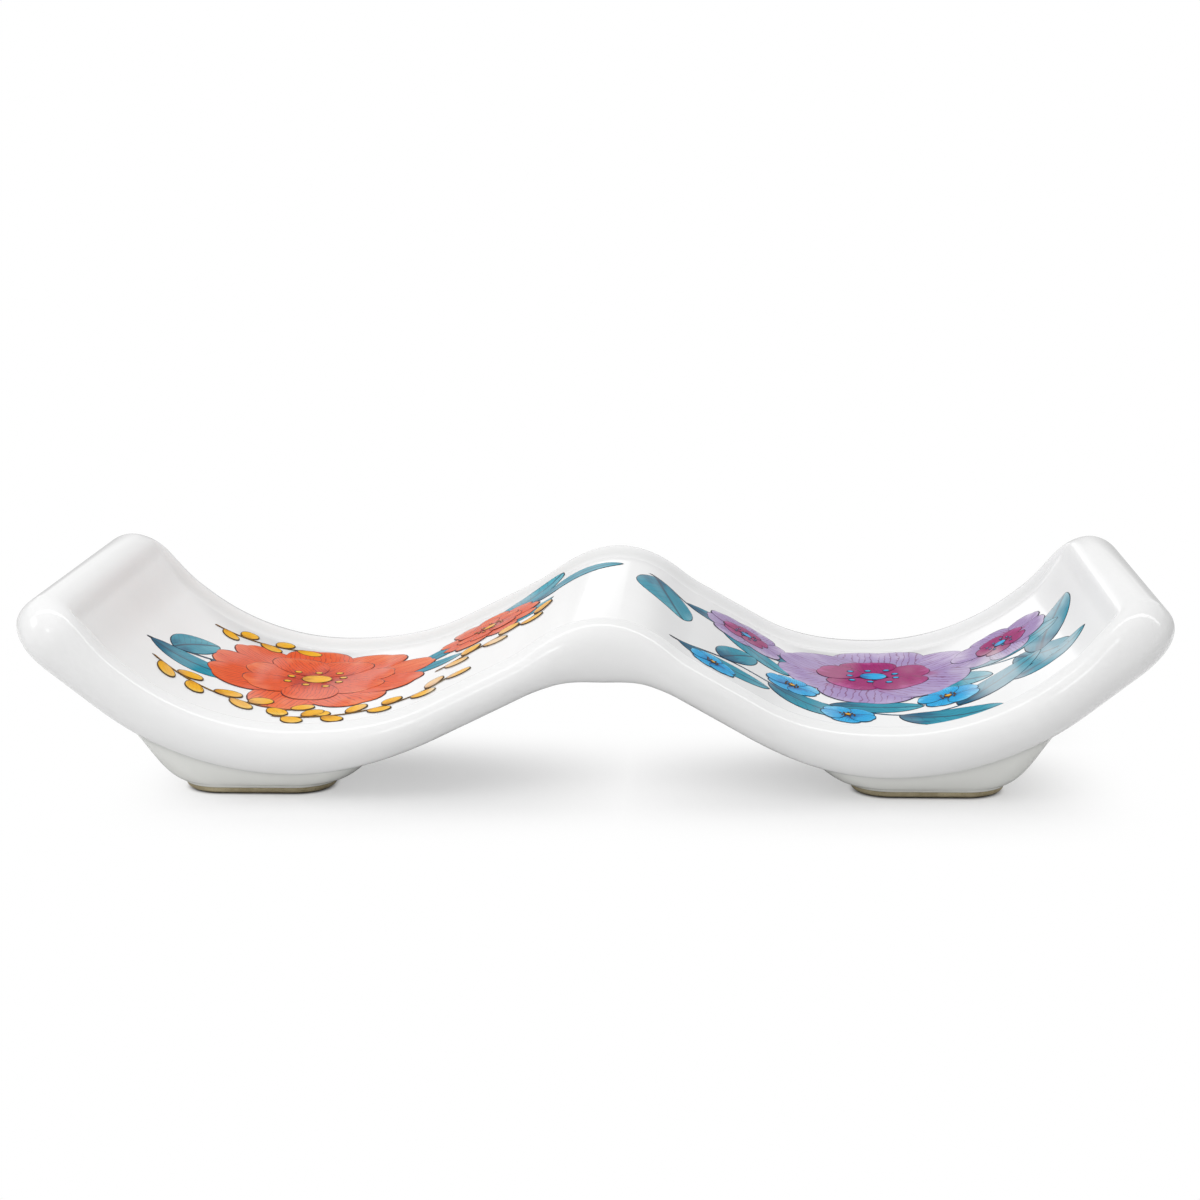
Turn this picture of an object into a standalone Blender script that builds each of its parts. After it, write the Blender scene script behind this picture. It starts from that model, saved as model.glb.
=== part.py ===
"""Double spoon rest of glazed porcelain: a wave-shaped tray on two flared feet.

Metres, +Z up. X runs along the wave, Y across it, and the origin lies on the table midway between the ends.
"""

import math

import bmesh
import bpy
from mathutils import Vector

# Wave of the tray, from the crest outwards, along the middle of its wall
CREST_RADIUS = 0.0128
INNER_FLANK_ANGLE = 27.8
INNER_FLANK_LENGTH = 0.0123
HOLLOW_INNER_RADIUS = 0.0304
HOLLOW_OUTER_RADIUS = 0.0304
OUTER_FLANK_ANGLE = 38.0
OUTER_FLANK_LENGTH = 0.0093
# How far the crest stands to the right of the middle between the hollows
CREST_SHIFT = 0.0014

# Wall of the tray: thin on the inner flanks, thicker at the crest and from the hollows outwards
FLANK_WALL = 0.0043
CREST_WALL = 0.0068
CREST_SWELL_LENGTH = 0.0096
HOLLOW_WALL = 0.0054

# Width of the tray, its rounded edge and the low rim along its sides
TRAY_DEPTH = 0.0500
EDGE_ROLL = 0.0028
EDGE_FULLNESS = 2.1
RIM_CORNER = 0.0030
RIM_HEIGHT = 0.00045
RIM_SLOPE = 0.0030
HOLLOW_CORNER = 0.0050

# Thick soft roll at each end
END_ROLL = 0.0034
END_RISE = 0.0015
END_SLOPE = 0.0080

# Feet: the top meets the underside of the tray, the base carries the bare ring. Along the wave both
# reach inwards and outwards from the lowest line of the hollow, by an angle of the hollow's arcs.
FOOT_TOP_INNER_ANGLE = 15.3
FOOT_TOP_OUTER_ANGLE = 37.5
FOOT_TOP_INSET = 0.0028
FOOT_BASE_INNER_ANGLE = 7.5
FOOT_BASE_OUTER_ANGLE = 24.6
FOOT_BASE_INSET = 0.0040
FOOT_HEIGHT = 0.0012
FOOT_CORNER = 0.0045
FOOT_SWAY = 0.07

# Bare rings under the feet
RING_HEIGHT = 0.0009
RING_LEDGE = 0.0002
RING_WIDTH = 0.0036
RING_OUTER_ROUND = 0.0011
RING_INNER_ROUND = 0.0004

# Room for the slip at each seam
SEAM_GAP = 0.0003

# Colours and finishes
GLAZE_WHITE = (0.86, 0.87, 0.88, 1.0)
GLAZE_ROUGHNESS = 0.08
BARE_CLAY = (0.42, 0.36, 0.25, 1.0)
BARE_ROUGHNESS = 0.75

# Fineness of the surfaces, in segments
TRAY_SIDES = (44, 6, 2)
FOOT_SIDES = (8, 3, 3)
RING_SIDES = (2, 3, 3)
EDGE_STEPS = 8
RIM_STEPS = 4
FOOT_STEPS = 4
ROUND_STEPS = 4
SMOOTH_BELOW = 40.0


def smooth_step(share):
    """Ease from 0 to 1 as the share goes from 0 to 1."""
    share = min(max(share, 0.0), 1.0)
    return share * share * (3.0 - 2.0 * share)


def wave_runs():
    """Length and turn of each arc or straight, from the crest to the middle of the end roll."""
    inner = math.radians(INNER_FLANK_ANGLE)
    outer = math.radians(OUTER_FLANK_ANGLE)
    return (
        (CREST_RADIUS * inner, -inner),
        (INNER_FLANK_LENGTH, 0.0),
        (HOLLOW_INNER_RADIUS * inner, inner),
        (HOLLOW_OUTER_RADIUS * outer, outer),
        (OUTER_FLANK_LENGTH, 0.0),
    )


def walk(distance):
    """Offset in X and Z and heading, after a walk from the crest along half of the wave."""
    x, z, heading = 0.0, 0.0, 0.0
    runs = wave_runs()
    for place, (length, turn) in enumerate(runs):
        last = place == len(runs) - 1
        step = distance if last else min(distance, length)
        bend = turn * step / length
        chord = step if bend == 0.0 else 2.0 * math.sin(bend / 2.0) * length / turn
        x += chord * math.cos(heading + bend / 2.0)
        z += chord * math.sin(heading + bend / 2.0)
        heading += bend
        distance -= step
    return x, z, heading


def distance_to(run):
    """Distance along the wave from the crest to the start of a run."""
    return sum(length for length, _ in wave_runs()[:run])


FLANK_END = distance_to(2)
HOLLOW_DISTANCE = distance_to(3)
END_DISTANCE = distance_to(5)
TIP_DISTANCE = END_DISTANCE + END_ROLL

HOLLOW_X, HOLLOW_DROP, _ = walk(HOLLOW_DISTANCE)
FOOT_BASE_Z = RING_HEIGHT + SEAM_GAP
HOLLOW_UNDERSIDE_Z = FOOT_BASE_Z + FOOT_HEIGHT + SEAM_GAP
CREST_MIDDLE_Z = HOLLOW_UNDERSIDE_Z + HOLLOW_WALL / 2.0 - HOLLOW_DROP


def wall(distance):
    """Thickness of the tray at a distance from the crest."""
    swell = 1.0 - smooth_step(distance / CREST_SWELL_LENGTH)
    outwards = smooth_step((distance - FLANK_END) / (HOLLOW_DISTANCE - FLANK_END))
    thickness = FLANK_WALL + (CREST_WALL - FLANK_WALL) * swell
    return thickness + (HOLLOW_WALL - FLANK_WALL) * outwards


def top_rise(along, across):
    """How far the top of the tray rises over its floor: to the rim at its sides, to the rolls at its ends."""
    floor_half_depth = TRAY_DEPTH / 2.0 - EDGE_ROLL - RIM_SLOPE
    side = smooth_step((abs(across) - floor_half_depth) / RIM_SLOPE)
    end = smooth_step((abs(along) - END_DISTANCE + END_SLOPE) / END_SLOPE)
    return RIM_HEIGHT * side * (1.0 - end) + END_RISE * end


def tray_point(along, across, level):
    """Point of the tray: level -1 is its underside, 0 the middle of its wall and 1 its top."""
    distance = abs(along)
    x, z, heading = walk(distance)
    height = level * wall(distance) / 2.0
    if level > 0.0:
        height += level * (top_rise(along, across) - RIM_HEIGHT)
    x -= height * math.sin(heading)
    z += height * math.cos(heading) + CREST_MIDDLE_Z
    shift = CREST_SHIFT * (1.0 - smooth_step(distance / HOLLOW_DISTANCE))
    return Vector((math.copysign(x, along) + shift, across, z))


def underside_z(x):
    """Height of the tray's underside over a place on the table."""
    near, far = 0.0, TIP_DISTANCE
    for _ in range(50):
        middle = (near + far) / 2.0
        if tray_point(middle, 0.0, -1.0).x < x:
            near = middle
        else:
            far = middle
    return tray_point(near, 0.0, -1.0).z


def rounded_loop(half_length, half_width, corner, sides):
    """Rounded rectangle, counter-clockwise, that starts in the middle of its first corner."""
    long_steps, short_steps, corner_steps = sides
    arc_steps = 2 * corner_steps
    arcs = []
    for turn, (side_x, side_y) in enumerate(((-1, -1), (1, -1), (1, 1), (-1, 1))):
        centre_x = side_x * (half_length - corner)
        centre_y = side_y * (half_width - corner)
        arc = []
        for step in range(arc_steps + 1):
            angle = math.pi + (turn + step / arc_steps) * math.pi / 2.0
            arc.append((centre_x + corner * math.cos(angle), centre_y + corner * math.sin(angle)))
        arcs.append(arc)
    loop = []
    for turn, arc in enumerate(arcs):
        start = arc[-1]
        end = arcs[(turn + 1) % 4][0]
        steps = short_steps if turn % 2 else long_steps
        loop.extend(arc)
        for step in range(1, steps):
            share = step / steps
            loop.append((start[0] + (end[0] - start[0]) * share, start[1] + (end[1] - start[1]) * share))
    return loop[corner_steps:] + loop[:corner_steps]


def loop_place(column, row, columns, rows):
    """Place in the loop of a grid point on the border, or None for a point inside."""
    if row == 0:
        return column
    if column == columns:
        return columns + row
    if row == rows:
        return 2 * columns + rows - column
    if column == 0:
        return 2 * (columns + rows) - row
    return None


def blend_inside(loop, column, row, columns, rows):
    """Flat point inside a loop, blended from the four sides around it."""
    def border(at_column, at_row):
        return Vector(loop[loop_place(at_column, at_row, columns, rows)])

    u = column / columns
    v = row / rows
    sides = border(column, 0) * (1 - v) + border(column, rows) * v
    ends = border(0, row) * (1 - u) + border(columns, row) * u
    front = border(0, 0) * (1 - u) + border(columns, 0) * u
    back = border(0, rows) * (1 - u) + border(columns, rows) * u
    return sides + ends - front * (1 - v) - back * v


def add_cap(mesh, loop, lift, verts, sides, upward):
    """Close a loop with a grid of faces that follows the lifted surface."""
    columns = sides[0] + 2 * sides[2]
    rows = sides[1] + 2 * sides[2]
    grid = {}
    for column in range(columns + 1):
        for row in range(rows + 1):
            place = loop_place(column, row, columns, rows)
            if place is None:
                inside = blend_inside(loop, column, row, columns, rows)
                grid[column, row] = mesh.verts.new(lift(inside.x, inside.y))
            else:
                grid[column, row] = verts[place % len(verts)]
    for column in range(columns):
        for row in range(rows):
            near = [grid[column, row], grid[column + 1, row]]
            far = [grid[column + 1, row + 1], grid[column, row + 1]]
            corners = near + far
            mesh.faces.new(corners if upward else corners[::-1])


def skin(name, levels, sides, material, ring=False):
    """Object whose skin joins the loops of its levels, capped at both ends or closed into a ring."""
    mesh = bmesh.new()
    rows = []
    for loop, lift in levels:
        rows.append([mesh.verts.new(lift(x, y)) for x, y in loop])
    pairs = list(zip(rows, rows[1:]))
    if ring:
        pairs.append((rows[-1], rows[0]))
    for lower, upper in pairs:
        for place in range(len(lower)):
            after = (place + 1) % len(lower)
            mesh.faces.new((lower[place], lower[after], upper[after], upper[place]))
    if not ring:
        add_cap(mesh, *levels[0], rows[0], sides, upward=False)
        add_cap(mesh, *levels[-1], rows[-1], sides, upward=True)
    data = bpy.data.meshes.new(name)
    mesh.to_mesh(data)
    mesh.free()
    data.shade_smooth()
    data.set_sharp_from_angle(angle=math.radians(SMOOTH_BELOW))
    data.materials.append(material)
    piece = bpy.data.objects.new(name, data)
    bpy.context.scene.collection.objects.link(piece)
    return piece


def finish(name, colour, roughness):
    """Material with one colour and roughness."""
    material = bpy.data.materials.new(name)
    material.use_nodes = True
    shader = material.node_tree.nodes["Principled BSDF"]
    shader.inputs["Base Color"].default_value = colour
    shader.inputs["Roughness"].default_value = roughness
    shader.inputs["Metallic"].default_value = 0.0
    return material


def glaze(piece):
    """Glossy white glaze of one piece."""
    return finish(piece + "_glaze", GLAZE_WHITE, GLAZE_ROUGHNESS)


def bare_clay(piece):
    """Bare fired clay of one piece."""
    return finish(piece + "_clay", BARE_CLAY, BARE_ROUGHNESS)


def edge_levels():
    """Loops round the edge of the tray, from its underside up to the top of its rim."""
    levels = []
    for step in range(EDGE_STEPS + 1):
        angle = math.pi * (step / EDGE_STEPS - 0.5)
        reach = max(math.cos(angle), 0.0) ** (2.0 / EDGE_FULLNESS)
        level = math.copysign(abs(math.sin(angle)) ** (2.0 / EDGE_FULLNESS), angle)
        loop = rounded_loop(
            TIP_DISTANCE - (1.0 - reach) * END_ROLL,
            TRAY_DEPTH / 2.0 - (1.0 - reach) * EDGE_ROLL,
            RIM_CORNER + reach * EDGE_ROLL,
            TRAY_SIDES,
        )
        levels.append((loop, lambda u, v, level=level: tray_point(u, v, level)))
    return levels


def rim_levels():
    """Loops from the top of the rim and of the end rolls down to the floor of the hollows."""
    levels = []
    for step in range(1, RIM_STEPS + 1):
        share = step / RIM_STEPS
        loop = rounded_loop(
            END_DISTANCE - END_SLOPE * share,
            TRAY_DEPTH / 2.0 - EDGE_ROLL - RIM_SLOPE * share,
            RIM_CORNER + (HOLLOW_CORNER - RIM_CORNER) * share,
            TRAY_SIDES,
        )
        levels.append((loop, lambda u, v: tray_point(u, v, 1.0)))
    return levels


def make_tray():
    """Wave-shaped tray with its rounded edge, low rim and end rolls."""
    return skin("wave_tray", edge_levels() + rim_levels(), TRAY_SIDES, glaze("wave_tray"))


def foot_outline(inner_angle, outer_angle, inset, margin, sides):
    """Outline about a hollow: angles of its arcs along the wave, an inset across, less a margin."""
    inner = HOLLOW_INNER_RADIUS * math.sin(math.radians(inner_angle)) - margin
    outer = HOLLOW_OUTER_RADIUS * math.sin(math.radians(outer_angle)) - margin
    half_width = TRAY_DEPTH / 2.0 - inset - margin
    corner = max(FOOT_CORNER - margin, RING_INNER_ROUND)
    loop = rounded_loop((inner + outer) / 2.0, half_width, corner, sides)
    return [(x + (outer - inner) / 2.0, y) for x, y in loop]


def top_outline():
    """Outline of a foot where it meets the tray."""
    return foot_outline(FOOT_TOP_INNER_ANGLE, FOOT_TOP_OUTER_ANGLE, FOOT_TOP_INSET, 0.0, FOOT_SIDES)


def base_outline(margin, sides):
    """Outline of a foot's base, less a margin."""
    return foot_outline(FOOT_BASE_INNER_ANGLE, FOOT_BASE_OUTER_ANGLE, FOOT_BASE_INSET, margin, sides)


def foot_top_point(x, y):
    """Point on top of the right foot, under the tray and clear of it by the seam."""
    return Vector((x, y, underside_z(HOLLOW_X + x) - SEAM_GAP))


def foot_levels():
    """Loops of the right foot about its hollow, from its base up its flared wall."""
    base = base_outline(0.0, FOOT_SIDES)
    top = top_outline()
    levels = [(base, lambda x, y: Vector((x, y, FOOT_BASE_Z)))]
    for step in range(1, FOOT_STEPS):
        share = step / FOOT_STEPS
        rise = share - FOOT_SWAY * math.sin(2.0 * math.pi * share)
        loop = []
        heights = {}
        for low, high in zip(base, top):
            x = low[0] + (high[0] - low[0]) * share
            y = low[1] + (high[1] - low[1]) * share
            loop.append((x, y))
            heights[x, y] = FOOT_BASE_Z + (foot_top_point(*high).z - FOOT_BASE_Z) * rise
        levels.append((loop, lambda x, y, heights=heights: Vector((x, y, heights[x, y]))))
    levels.append((top, foot_top_point))
    return levels


def ring_level(inset, z):
    """Loop of a foot ring at an inset from the foot's base and a height over the table."""
    return base_outline(RING_LEDGE + inset, RING_SIDES), lambda x, y: Vector((x, y, z))


def ring_levels():
    """Loops round the section of a foot ring: rounded outside, flat below, eased inside."""
    levels = []
    for step in range(ROUND_STEPS + 1):
        angle = math.pi / 2.0 * step / ROUND_STEPS
        inset = RING_OUTER_ROUND * (1.0 - math.sin(angle))
        levels.append(ring_level(inset, RING_HEIGHT * (1.0 - math.cos(angle))))
    levels.append(ring_level(RING_WIDTH, RING_HEIGHT))
    levels.append(ring_level(RING_WIDTH, RING_INNER_ROUND))
    levels.append(ring_level(RING_WIDTH - RING_INNER_ROUND, 0.0))
    return levels


def make_foot(side, turn, tray):
    """Foot and bare ring under one hollow, turned to face outwards."""
    foot_name = side + "_foot"
    ring_name = side + "_foot_ring"
    foot = skin(foot_name, foot_levels(), FOOT_SIDES, glaze(foot_name))
    foot.parent = tray
    foot.location.x = HOLLOW_X * math.cos(turn)
    foot.rotation_euler.z = turn
    ring = skin(ring_name, ring_levels(), RING_SIDES, bare_clay(ring_name), ring=True)
    ring.parent = foot


def main():
    for old in list(bpy.data.objects):
        bpy.data.objects.remove(old)
    tray = make_tray()
    make_foot("left", math.pi, tray)
    make_foot("right", 0.0, tray)


main()
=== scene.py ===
"""Double spoon rest: a painted porcelain tray in the form of a wave, on two flared feet with bare rings.

Metres, +Z up. X runs along the wave, Y across it, and the origin lies on the table midway between the ends.
"""

import math
import random

import bpy
import numpy as np
from bpy.props import FloatProperty, FloatVectorProperty, PointerProperty
from mathutils import Matrix, Vector


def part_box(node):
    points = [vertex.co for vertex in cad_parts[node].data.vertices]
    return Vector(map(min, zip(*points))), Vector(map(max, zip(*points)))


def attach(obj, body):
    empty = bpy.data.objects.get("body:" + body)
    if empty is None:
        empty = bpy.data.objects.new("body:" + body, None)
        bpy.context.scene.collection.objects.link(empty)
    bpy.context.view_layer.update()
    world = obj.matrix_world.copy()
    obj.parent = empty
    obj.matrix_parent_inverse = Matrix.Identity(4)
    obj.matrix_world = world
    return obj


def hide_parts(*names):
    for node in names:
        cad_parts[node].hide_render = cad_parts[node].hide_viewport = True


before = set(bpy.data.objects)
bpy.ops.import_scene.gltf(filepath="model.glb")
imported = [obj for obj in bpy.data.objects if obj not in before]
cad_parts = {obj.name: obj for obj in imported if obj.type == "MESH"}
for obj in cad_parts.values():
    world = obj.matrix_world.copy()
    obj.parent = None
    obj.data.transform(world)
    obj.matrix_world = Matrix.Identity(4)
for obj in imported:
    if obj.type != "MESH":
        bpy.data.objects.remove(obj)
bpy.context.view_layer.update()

bl_info = {
    "name": "Double Spoon Rest",
    "version": (1, 0, 0),
    "blender": (4, 5, 0),
    "location": "3D View > Sidebar > Spoon Rest",
    "description": "Builds a painted porcelain spoon rest around its measured frame",
    "category": "Object",
}

BODY = "root"

# Wave of the tray, from the crest outwards, along the middle of its wall
CREST_RADIUS = 0.0128
INNER_FLANK_ANGLE = 27.8
INNER_FLANK_LENGTH = 0.0123
HOLLOW_INNER_RADIUS = 0.0304
HOLLOW_OUTER_RADIUS = 0.0304
OUTER_FLANK_ANGLE = 38.0
OUTER_FLANK_LENGTH = 0.0093
CREST_SHIFT = 0.0014

# Wall of the tray
FLANK_WALL = 0.0043
CREST_WALL = 0.0068
CREST_SWELL_LENGTH = 0.0096
HOLLOW_WALL = 0.0054

# Edge, rim and end rolls of the tray
TRAY_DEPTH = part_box("wave_tray")[1].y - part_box("wave_tray")[0].y
EDGE_ROLL = 0.0028
EDGE_FULLNESS = 2.1
RIM_CORNER = 0.0030
RIM_HEIGHT = 0.00045
RIM_SLOPE = 0.0030
HOLLOW_CORNER = 0.0050
END_ROLL = 0.0034
END_RISE = 0.0015
END_SLOPE = 0.0080
BEAD_HEIGHT = 0.0004
BEAD_SLOPE = 0.0014
END_BEAD_SLOPE = 0.0026

# Feet and their bare rings
FOOT_TOP_INNER_ANGLE = 16.6
FOOT_TOP_OUTER_ANGLE = 37.5
FOOT_BASE_INNER_ANGLE = 7.5
FOOT_BASE_OUTER_ANGLE = 24.6
FOOT_BASE_INSET = 0.0040
FOOT_CORNER = 0.0045
FOOT_CURVE = ((0.0, 0.0), (0.38, 0.11), (0.60, 0.60), (1.0, 1.0))
RING_TOP_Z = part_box("right_foot_ring")[1].z
GLAZE_OVERLAP = 0.0001
GLAZE_LINE_Z = RING_TOP_Z - GLAZE_OVERLAP
HOLLOW_UNDERSIDE_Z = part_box("wave_tray")[0].z
FOOT_TUCK = 0.0001
RING_LEDGE = 0.0002
RING_WIDTH = 0.0036
RING_OUTER_ROUND = 0.0011
RING_INNER_ROUND = 0.0004

# Fineness of the surfaces, in segments
TRAY_SIDES = (300, 44, 10)
FOOT_SIDES = (36, 60, 12)
EDGE_STEPS = 40
RIM_STEPS = 24
FOOT_STEPS = 14
ROUND_STEPS = 8
DAB_STEPS = 12
STEM_POINTS = 70
STALK_POINTS = 40
UNDERSIDE_POINTS = 4001

# How deep the rim of a painted film and its back lie in the glaze
FILM_SINK = 0.00002


# Shape of the wave

def smooth_step(share):
    """Ease from 0 to 1 as the share goes from 0 to 1."""
    share = np.clip(share, 0.0, 1.0)
    return share * share * (3.0 - 2.0 * share)


def wave_runs():
    """Length and turn of each arc or straight, from the crest to the middle of the end roll."""
    inner = math.radians(INNER_FLANK_ANGLE)
    outer = math.radians(OUTER_FLANK_ANGLE)
    return (
        (CREST_RADIUS * inner, -inner),
        (INNER_FLANK_LENGTH, 0.0),
        (HOLLOW_INNER_RADIUS * inner, inner),
        (HOLLOW_OUTER_RADIUS * outer, outer),
        (OUTER_FLANK_LENGTH, 0.0),
    )


def walk(distance):
    """Offsets in X and Z and headings, after walks from the crest along half of the wave."""
    left = np.array(distance, float)
    x = np.zeros_like(left)
    z = np.zeros_like(left)
    heading = np.zeros_like(left)
    runs = wave_runs()
    for place, (length, turn) in enumerate(runs):
        step = left if place == len(runs) - 1 else np.minimum(left, length)
        bend = turn * step / length
        chord = step if turn == 0.0 else 2.0 * np.sin(bend / 2.0) * length / turn
        x = x + chord * np.cos(heading + bend / 2.0)
        z = z + chord * np.sin(heading + bend / 2.0)
        heading = heading + bend
        left = left - step
    return x, z, heading


def distance_to(run):
    """Distance along the wave from the crest to the start of a run."""
    return sum(length for length, _ in wave_runs()[:run])


FLANK_END = distance_to(2)
HOLLOW_DISTANCE = distance_to(3)
END_DISTANCE = distance_to(5)
TIP_DISTANCE = END_DISTANCE + END_ROLL
HOLLOW_X, HOLLOW_DROP, _ = (float(value) for value in walk(HOLLOW_DISTANCE))
CREST_MIDDLE_Z = HOLLOW_UNDERSIDE_Z + HOLLOW_WALL / 2.0 - HOLLOW_DROP
FLOOR_HALF_LENGTH = END_DISTANCE - END_SLOPE
FLOOR_HALF_DEPTH = TRAY_DEPTH / 2.0 - EDGE_ROLL - RIM_SLOPE


def wall(distance):
    """Thickness of the tray at a distance from the crest."""
    swell = 1.0 - smooth_step(distance / CREST_SWELL_LENGTH)
    outwards = smooth_step((distance - FLANK_END) / (HOLLOW_DISTANCE - FLANK_END))
    return FLANK_WALL + (CREST_WALL - FLANK_WALL) * swell + (HOLLOW_WALL - FLANK_WALL) * outwards


def slope_shares(flat):
    """How far flat places have come up the side rim and up an end roll, from 0 to 1."""
    side = smooth_step((np.abs(flat[..., 1]) - FLOOR_HALF_DEPTH) / RIM_SLOPE)
    end = smooth_step((np.abs(flat[..., 0]) - FLOOR_HALF_LENGTH) / END_SLOPE)
    return side, end


def bead_share(flat):
    """How far flat places have come up the bead along the rim and the end rolls, from 0 to 1."""
    side = smooth_step((np.abs(flat[..., 1]) - TRAY_DEPTH / 2.0 + EDGE_ROLL + BEAD_SLOPE) / BEAD_SLOPE)
    end = smooth_step((np.abs(flat[..., 0]) - END_DISTANCE + END_BEAD_SLOPE) / END_BEAD_SLOPE)
    return 1.0 - (1.0 - side) * (1.0 - end)


def tray_points(flat, level, over=0.0):
    """Points of the tray over flat places: level -1 is its underside, 1 its top, and over lifts them."""
    along = flat[..., 0]
    distance = np.abs(along)
    x, z, heading = walk(distance)
    side, end = slope_shares(flat)
    rise = RIM_HEIGHT * side * (1.0 - end) + END_RISE * end - RIM_HEIGHT
    rise = rise - BEAD_HEIGHT * (1.0 - bead_share(flat))
    height = level * wall(distance) / 2.0 + max(level, 0.0) * rise + over
    x = x - height * np.sin(heading)
    z = z + height * np.cos(heading) + CREST_MIDDLE_Z
    shift = CREST_SHIFT * (1.0 - smooth_step(distance / HOLLOW_DISTANCE))
    return np.stack((np.copysign(x, along) + shift, flat[..., 1], z), axis=-1)


def underside_table():
    """X and Z along the underside of the tray, from its left tip to its right one."""
    flat = np.zeros((UNDERSIDE_POINTS, 2))
    flat[:, 0] = np.linspace(-TIP_DISTANCE, TIP_DISTANCE, UNDERSIDE_POINTS)
    points = tray_points(flat, -1.0)
    return points[:, 0], points[:, 2]


UNDERSIDE_X, UNDERSIDE_Z = underside_table()


def underside_z(places):
    """Height of the tray's underside over places on the table, up the curve of its long edges."""
    reach = np.clip((np.abs(places[..., 1]) - TRAY_DEPTH / 2.0) / EDGE_ROLL + 1.0, 0.0, 1.0)
    level = (1.0 - reach ** EDGE_FULLNESS) ** (1.0 / EDGE_FULLNESS)
    return np.interp(places[..., 0], UNDERSIDE_X, UNDERSIDE_Z) + (1.0 - level) * HOLLOW_WALL / 2.0


# Making of skins

def rounded_loop(half_length, half_width, corner, sides):
    """Rounded rectangle, counter-clockwise, that starts in the middle of its first corner."""
    long_steps, short_steps, corner_steps = sides
    arc_steps = 2 * corner_steps
    arcs = []
    for turn, (side_x, side_y) in enumerate(((-1, -1), (1, -1), (1, 1), (-1, 1))):
        angle = math.pi + (turn + np.arange(arc_steps + 1) / arc_steps) * math.pi / 2.0
        centre = (side_x * (half_length - corner), side_y * (half_width - corner))
        arcs.append(np.stack((np.cos(angle), np.sin(angle)), axis=-1) * corner + centre)
    parts = []
    for turn, arc in enumerate(arcs):
        steps = short_steps if turn % 2 else long_steps
        share = np.arange(1, steps)[:, None] / steps
        parts.append(arc)
        parts.append(arc[-1] + (arcs[(turn + 1) % 4][0] - arc[-1]) * share)
    return np.roll(np.concatenate(parts), -corner_steps, axis=0)


def loop_grid(loop, sides):
    """Flat grid of points inside a loop, blended from its four sides."""
    columns = sides[0] + 2 * sides[2]
    rows = sides[1] + 2 * sides[2]
    front = loop[:columns + 1]
    right = loop[columns:columns + rows + 1]
    back = loop[columns + rows:2 * columns + rows + 1][::-1]
    left = np.concatenate((loop[:1], loop[2 * columns + rows:][::-1]))
    u = np.linspace(0.0, 1.0, columns + 1)[:, None, None]
    v = np.linspace(0.0, 1.0, rows + 1)[None, :, None]
    across = front[:, None] * (1.0 - v) + back[:, None] * v
    along = left[None, :] * (1.0 - u) + right[None, :] * u
    near = front[0] * (1.0 - u) + front[-1] * u
    far = back[0] * (1.0 - u) + back[-1] * u
    return across + along - near * (1.0 - v) - far * v


def grid_border(columns, rows):
    """Grid places round the border of a grid, in the order of its loop."""
    front = [(column, 0) for column in range(columns)]
    right = [(columns, row) for row in range(rows)]
    back = [(column, rows) for column in range(columns, 0, -1)]
    left = [(0, row) for row in range(rows, 0, -1)]
    return front + right + back + left


class Skin:
    """Points and faces of a piece while it is put together, with marks that its finish reads."""

    def __init__(self, marks=()):
        self.marks = marks
        self.points = []
        self.values = []
        self.faces = []
        self.count = 0

    def add_points(self, points, values=None):
        """Add points with their marks and give back their numbers."""
        shape = points.shape[:-1]
        flat = points.reshape(-1, 3)
        if values is None:
            values = np.zeros((len(flat), len(self.marks)))
        self.points.append(flat)
        self.values.append(np.asarray(values, float).reshape(len(flat), len(self.marks)))
        numbers = np.arange(self.count, self.count + len(flat)).reshape(shape)
        self.count += len(flat)
        return numbers

    def add_band(self, lower, upper):
        """Join two loops of the same length, the lower one first."""
        after_lower = np.roll(lower, -1)
        after_upper = np.roll(upper, -1)
        self.faces.append(np.stack((lower, after_lower, after_upper, upper), axis=-1))

    def add_grid(self, numbers, upward=True):
        """Fill a grid of points with faces."""
        corners = [numbers[:-1, :-1], numbers[1:, :-1], numbers[1:, 1:], numbers[:-1, 1:]]
        if not upward:
            corners.reverse()
        self.faces.append(np.stack(corners, axis=-1).reshape(-1, 4))

    def add_cap(self, border, grid, upward, values=None):
        """Close a loop of points with a grid whose border is that loop."""
        columns, rows = grid.shape[0] - 1, grid.shape[1] - 1
        inside = grid[1:-1, 1:-1]
        inside_values = None if values is None else values[1:-1, 1:-1]
        numbers = np.zeros(grid.shape[:2], int)
        numbers[1:-1, 1:-1] = self.add_points(inside, inside_values)
        for place, (column, row) in zip(border, grid_border(columns, rows)):
            numbers[column, row] = place
        self.add_grid(numbers, upward)

    def mesh(self, name, material):
        """Smooth mesh of the skin, with its marks."""
        mesh = bpy.data.meshes.new(name)
        mesh.from_pydata(np.concatenate(self.points).tolist(), [], np.concatenate(self.faces).tolist())
        values = np.concatenate(self.values)
        for place, mark in enumerate(self.marks):
            layer = mesh.attributes.new(mark, "FLOAT", "POINT")
            layer.data.foreach_set("value", values[:, place].astype(np.float32))
        mesh.shade_smooth()
        mesh.materials.append(material)
        mesh.validate()
        return mesh

    def make(self, name, material):
        """Finished piece on the tray's body."""
        piece = place_object(name, self.mesh(name, material))
        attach(piece, BODY)
        return piece


def place_object(name, data):
    """Object of the scene with the given data."""
    placed = bpy.data.objects.new(name, data)
    bpy.context.scene.collection.objects.link(placed)
    return placed


# Tray

def pool_and_shade_mark(flat):
    """How thick the glaze lies on top of the tray, with painted shade, in the crease inside its rim, from 0
    to 1.
    """
    side, end = slope_shares(flat)
    return 4.0 * side * (1.0 - side) * (1.0 - end)


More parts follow.
